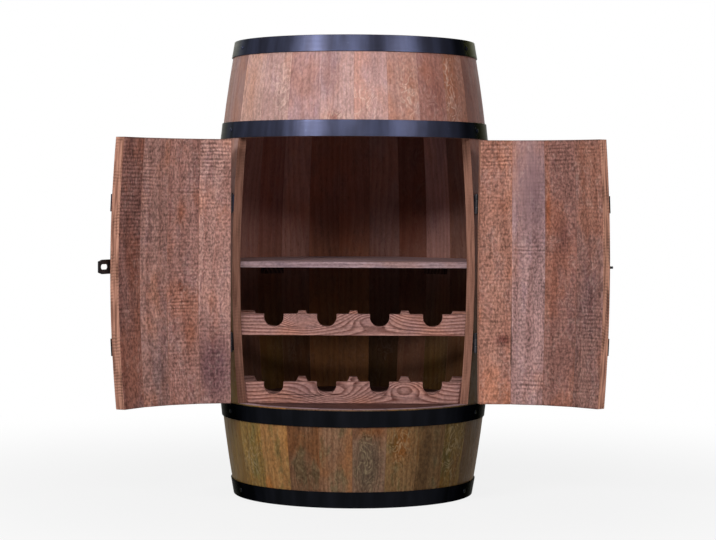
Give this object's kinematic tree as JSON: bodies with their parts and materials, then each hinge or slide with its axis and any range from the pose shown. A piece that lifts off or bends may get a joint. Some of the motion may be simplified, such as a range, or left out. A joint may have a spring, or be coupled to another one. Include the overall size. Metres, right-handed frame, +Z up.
{
  "type": "barrel bar cabinet",
  "caption": "Free-standing bar cabinet in the form of a coopered barrel: hooped staves, a pair of curved doors with a hasp, a shelf and notched bottle rails inside.",
  "frame": {"origin": "on the floor at the barrel's axis", "axes": "+Z up along the barrel's axis, -Y towards the front, +X to the right seen from the front"},
  "size_m": [0.8583, 0.5557, 0.802],
  "materials": {
    "stave_oak": "oiled, fine vertical grain",
    "lower_stave_oak": "oiled, darker and yellower",
    "door_stave_oak": "rough sawn on the inside",
    "head_oak": "planed and oiled",
    "inside_oak": "planed, with strong grain",
    "hoop_steel": "satin black",
    "hardware_steel": "dull"
  },
  "bodies": {
    "cabinet": {"barrel_hinge_leaves": "hardware_steel", "bottom_end_hoop": "hoop_steel", "bottom_head": "head_oak", "floor_board": "inside_oak", "floor_cleats": "inside_oak", "hinge_pins": "hardware_steel", "lower_bilge_hoop": "hoop_steel", "lower_front_rail": "inside_oak", "lower_front_staves": "lower_stave_oak", "lower_quarter_hoop": "hoop_steel", "lower_rear_rail": "inside_oak", "shelf": "inside_oak", "shelf_cleats": "inside_oak", "stave_01": "stave_oak", "stave_02": "stave_oak", "stave_03": "stave_oak", "stave_04": "stave_oak", "stave_05": "stave_oak", "stave_06": "stave_oak", "stave_07": "stave_oak", "stave_08": "stave_oak", "stave_09": "stave_oak", "stave_10": "stave_oak", "stave_11": "stave_oak", "stave_12": "stave_oak", "stave_13": "stave_oak", "stave_14": "stave_oak", "stave_15": "stave_oak", "stave_16": "stave_oak", "stave_17": "stave_oak", "top_end_hoop": "hoop_steel", "top_head": "head_oak", "upper_bilge_hoop": "hoop_steel", "upper_front_rail": "inside_oak", "upper_front_staves": "stave_oak", "upper_quarter_hoop": "hoop_steel", "upper_rear_rail": "inside_oak"},
    "left_door": {"left_door_bands": "hoop_steel", "left_door_hinge_leaves": "hardware_steel", "left_door_stave_1": "door_stave_oak", "left_door_stave_2": "door_stave_oak", "left_door_stave_3": "door_stave_oak", "left_door_stave_4": "door_stave_oak", "hasp_base": "hardware_steel", "hasp_pin": "hardware_steel"},
    "right_door": {"right_door_bands": "hoop_steel", "right_door_hinge_leaves": "hardware_steel", "right_door_stave_1": "door_stave_oak", "right_door_stave_2": "door_stave_oak", "right_door_stave_3": "door_stave_oak", "right_door_stave_4": "door_stave_oak", "hasp_staple": "hardware_steel"},
    "hasp_strap": {"hasp_strap": "hardware_steel"}
  },
  "joints": [
    {"name": "left_door_hinge", "type": "hinge", "parent": "cabinet", "child": "left_door", "pos_m": [-0.21229, -0.1359, 0.397], "axis": [0, 0, -1], "range_deg": [-115, 60]},
    {"name": "right_door_hinge", "type": "hinge", "parent": "cabinet", "child": "right_door", "pos_m": [0.21229, -0.1359, 0.397], "axis": [0, 0, 1], "range_deg": [-129, 46]},
    {"name": "hasp_pivot", "type": "hinge", "parent": "left_door", "child": "hasp_strap", "pos_m": [-0.39291, -0.25115, 0.411], "axis": [0, 0, -1], "range_deg": [0, 170]}
  ]
}
